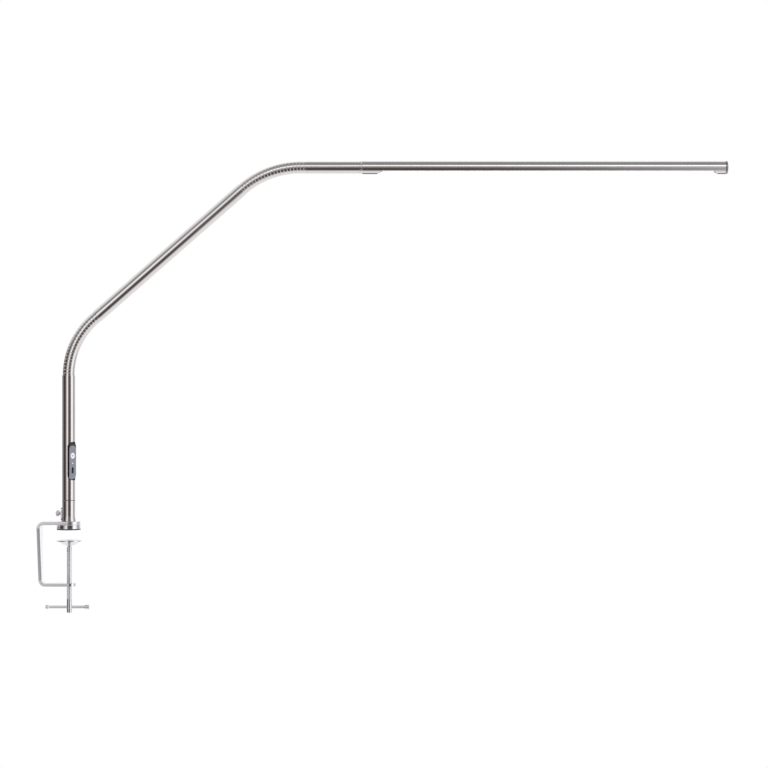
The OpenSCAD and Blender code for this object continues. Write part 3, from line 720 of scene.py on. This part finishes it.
gooseneck("Lower_gooseneck", Vector((0, 0, pole_high * MM)), Z, "lower",
          place(middle_start, middle_axis), ("lower_adaptor", "arm_adaptor_lower"))
gooseneck("Upper_gooseneck", middle_end, middle_axis, "upper",
          place(neck_start, X), ("arm_adaptor_upper", "neck_adaptor"))


# ---- neck rings and light bar ----

RING_BORE = 6.05
for name, body in (("Neck_ring", "neck"), ("Head_ring", "light_bar")):
    z0, z1, r = measure_mm(name.lower(), neck_at)
    spin(name, [(RING_BORE, z0, 0.1), (r, z0, 0.2), (r, z1, 0.2), (RING_BORE, z1, 0.1)],
         neck_at, body, steel_level, SMOOTH)

BAR_WALL = 0.8
FLAT = 5.5 * MM
# how far up the bar's underside the painted dark line reaches
PAINTED_DARK_LINE_DEPTH = 1.2 * MM
END_GAP = 0.3 * MM
PAST_TUBE = 4 * MM
CUT_HALF = 20 * MM
b0, b1, bar_r = measure("head_tube", neck_at)
axis_z = joint_at("bar_roll").z
# the window is cut level, FLAT below the axis, from one end of the diffuser to the other; at each
# end a ramp runs down from there, meets the tube's underside where the wedge ends, and goes on
d_low, d_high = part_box("diffuser")
e_low, e_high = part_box("diffuser_ends")
w0, w1 = d_low.x - END_GAP, d_high.x + END_GAP
spread = 1 + PAST_TUBE / (bar_r - FLAT)
profile = [(w0, -FLAT), (w1, -FLAT), (w1 + (e_high.x - w1) * spread, -bar_r - PAST_TUBE),
           (w0 - (w0 - e_low.x) * spread, -bar_r - PAST_TUBE)]
cutter = bmesh.new()
near = [cutter.verts.new((x, -CUT_HALF, axis_z + z)) for x, z in profile]
rear = [cutter.verts.new((x, CUT_HALF, axis_z + z)) for x, z in profile]
for k in range(4):
    n = (k + 1) % 4
    cutter.faces.new((near[k], near[n], rear[n], rear[k]))
cutter.faces.new(near[::-1])
cutter.faces.new(rear)
outline = turned_outline(tube_outline(bar_r / MM, BAR_WALL, b0 / MM, b1 / MM, 0.25), 3)
head = finish_mesh("Head_tube", cut(spin_bm(outline, neck_at, SMOOTH), cutter), "light_bar",
                   steel_level, ["head_tube"], sharp=30)
# painted dark reflection: the underside of the bar's end sections, left whole by the window, is
# coloured black to stand for the dark line reflected there
head.data.materials.append(black)
for face in head.data.polygons:
    if face.center.z < axis_z - bar_r + PAINTED_DARK_LINE_DEPTH and face.normal.z < -0.5:
        face.material_index = 1

seat_z = b1 / MM + 0.1
z0, z1, r = measure_mm("head_end_cap", neck_at)
plug_r = r - BAR_WALL - FIT
# the end cap, in steel whose dark colour is a painted reflection
spin("Head_end_cap", [(0, z0, 0), (plug_r, z0, 0.2), (plug_r, seat_z, 0), (r, seat_z, 0.2),
                      (r, z1, 1.7), (0, z1, 0)],
     neck_at, "light_bar", steel_painted_dark, SMOOTH, steps=8)

DIFFUSER_WALL = 1.2 * MM
half = (d_high.y - d_low.y) / 2
inside = half - DIFFUSER_WALL
inside_low = d_low.z + DIFFUSER_WALL
outline = soften([(-half, d_high.z, 0), (-half, d_low.z, 1.1 * MM), (half, d_low.z, 1.1 * MM),
                  (half, d_high.z, 0), (inside, d_high.z, 0), (inside, inside_low, 0.3 * MM),
                  (-inside, inside_low, 0.3 * MM), (-inside, d_high.z, 0)], 5)
# outlines in this frame are (y, z), drawn out along the bar
across_bar = Matrix(((0, 0, 1, 0), (1, 0, 0, 0), (0, 1, 0, 0), (0, 0, 0, 1)))
finish_mesh("Diffuser", prism_bm(outline, across_bar, d_low.x, d_high.x), "light_bar",
            diffusing, ["diffuser"], sharp=30)


# ---- studio ----

DISTANCE = 3.6
SENSOR = 36
FRAMING = 1.114  # the picture's width in lengths of the lamp
NUDGE_RIGHT, NUDGE_UP = 0.0017, 0.0045  # from the lamp's middle to the picture's
middle = (CAD_HIGH + CAD_LOW) / 2
aim = Vector((middle.x + NUDGE_RIGHT, 0, middle.z + NUDGE_UP))
toward = -Y
camera = bpy.data.cameras.new("camera")
camera.sensor_width = SENSOR
camera.lens = SENSOR * DISTANCE / ((CAD_HIGH - CAD_LOW).x * FRAMING)
camera.clip_start, camera.clip_end = 0.1, 100
seat = bpy.data.objects.new("camera", camera)
seat.location = aim + toward * DISTANCE
seat.rotation_mode = "QUATERNION"
seat.rotation_quaternion = (-toward).to_track_quat("-Z", "Y")
bpy.context.scene.collection.objects.link(seat)
bpy.context.scene.camera = seat
bpy.context.scene.view_settings.view_transform = "Standard"

BACKGROUND = (1.15, 1.14, 1.15, 1)
# soft patches of the studio's light, each laid over the ones before it:
# degrees right of and above the camera, radius of core and of edge in degrees, and radiance
PATCHES = (
    ("upper half", -20, 40, 34, 60, (0.78, 0.78, 0.8)),
    ("lower front", 0, -30, 30, 56, (0.82, 0.82, 0.85)),
    ("ceiling gap", 0, 76, 20, 42, (0.36, 0.35, 0.35)),
    ("bright right", 62, 0, 10, 24, (1.5, 1.5, 1.5)),
    ("dim right", 112, 5, 13, 30, (0.55, 0.55, 0.57)),
    ("dark far left", -120, 0, 10, 28, (0.2, 0.17, 0.17)),
    ("dark left gap", -68, 0, 13, 40, (0.085, 0.055, 0.05)),
    ("dark right gap", 33, 2, 5, 20, (0.26, 0.24, 0.24)),
    ("key low", -12, 2, 5, 13, (2.2, 2.2, 2.2)),
    ("key middle", -18, 14, 4, 12, (1.6, 1.6, 1.6)),
    ("upper left gap", -42, 34, 8, 22, (0.34, 0.34, 0.34)),
    ("key between", -14, 22, 4, 10, (1.5, 1.5, 1.5)),
    ("key high left", -7, 27, 4, 9, (2.4, 2.4, 2.4)),
    ("key high", 4, 27, 4, 9, (2.4, 2.4, 2.4)),
    ("key high right", 15, 27, 4, 9, (2.4, 2.4, 2.4)),
)


def toward_light(right, up):
    """The direction, seen from the lamp, so many degrees right of and above the camera."""
    angle = math.radians(math.hypot(right, up))
    way = X * right + Z * up
    return toward * math.cos(angle) + way.normalized() * math.sin(angle)


world = bpy.data.worlds.new("studio")
bpy.context.scene.world = world
world.use_nodes = True
tree = world.node_tree
tree.nodes.clear()
link = tree.links.new
direction = node_of(tree, "ShaderNodeTexCoord").outputs["Generated"]
colour = node_of(tree, "ShaderNodeRGB")
colour.outputs[0].default_value = BACKGROUND
light = colour.outputs[0]
for _, right, up, core, edge, glow in PATCHES:
    dot = node_of(tree, "ShaderNodeVectorMath", operation="DOT_PRODUCT")
    dot.inputs[1].default_value = toward_light(right, up)
    link(direction, dot.inputs[0])
    fade = node_of(tree, "ShaderNodeMapRange", interpolation_type="SMOOTHSTEP",
                   From_Min=math.cos(math.radians(edge)), From_Max=math.cos(math.radians(core)))
    link(dot.outputs["Value"], fade.inputs["Value"])
    mix = node_of(tree, "ShaderNodeMix", data_type="RGBA", B=(*glow, 1))
    link(fade.outputs[0], mix.inputs["Factor"])
    link(light, mix.inputs["A"])
    light = mix.outputs["Result"]
lit = node_of(tree, "ShaderNodeBackground")
link(light, lit.inputs["Color"])
plain = node_of(tree, "ShaderNodeBackground", Color=(1, 1, 1, 1))
choose = node_of(tree, "ShaderNodeMixShader")
link(node_of(tree, "ShaderNodeLightPath").outputs["Is Camera Ray"], choose.inputs[0])
link(lit.outputs[0], choose.inputs[1])
link(plain.outputs[0], choose.inputs[2])
link(choose.outputs[0], node_of(tree, "ShaderNodeOutputWorld").inputs["Surface"])

# a dark card in front of the lamp, which only reflections see, with edges that fade out
CARD_LEFT, CARD_AWAY, CARD_DROP = 0.06, 1.5, 0.8
CARD_WIDE, CARD_HIGH = 1.35, 2.45
CARD_CORE = 0.2
SQUARE = ((-1, -1), (1, -1), (1, 1), (-1, 1))
bm = bmesh.new()
bm.faces.new([bm.verts.new((x, 0, z)) for x, z in SQUARE])
card_mat = bpy.data.materials.new("dark_card")
card_mat.use_nodes = True
tree = card_mat.node_tree
tree.nodes.clear()
link = tree.links.new
reach = node_of(tree, "ShaderNodeVectorMath", operation="LENGTH")
link(node_of(tree, "ShaderNodeTexCoord").outputs["Object"], reach.inputs[0])
fade = node_of(tree, "ShaderNodeMapRange", interpolation_type="SMOOTHSTEP", From_Min=1.0,
               From_Max=CARD_CORE)
link(reach.outputs["Value"], fade.inputs["Value"])
dark = node_of(tree, "ShaderNodeEmission", Color=(0.1, 0.075, 0.07, 1))
choose = node_of(tree, "ShaderNodeMixShader")
link(fade.outputs[0], choose.inputs[0])
link(node_of(tree, "ShaderNodeBsdfTransparent").outputs[0], choose.inputs[1])
link(dark.outputs[0], choose.inputs[2])
link(choose.outputs[0], node_of(tree, "ShaderNodeOutputMaterial").inputs["Surface"])
card = finish_mesh("Card", bm, None, card_mat)
card.location = (aim.x - CARD_LEFT, aim.y - CARD_AWAY, aim.z - CARD_DROP)
card.scale = (CARD_WIDE, 1, CARD_HIGH)
card.visible_camera = card.visible_diffuse = False
card.visible_shadow = card.visible_transmission = False
card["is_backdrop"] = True

FLOOR_DROP = 0.6
FLOOR_HALF = 1.8
FLOOR_CORNER = 0.4
pale = surface("pale_floor", (0.86, 0.86, 0.87), 0.0, (0.6, 0.75), tone=0.01, patch=2.0,
               grain=60.0, relief=0.1)
rim = soften([(sx * FLOOR_HALF, sy * FLOOR_HALF, FLOOR_CORNER) for sx, sy in SQUARE], 12)
bm = bmesh.new()
bm.faces.new([bm.verts.new((aim.x + p.x, p.y, CAD_LOW.z - FLOOR_DROP)) for p in rim])
floor = finish_mesh("Floor", bm, None, pale)
floor.visible_glossy = False
floor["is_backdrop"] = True

low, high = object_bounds()
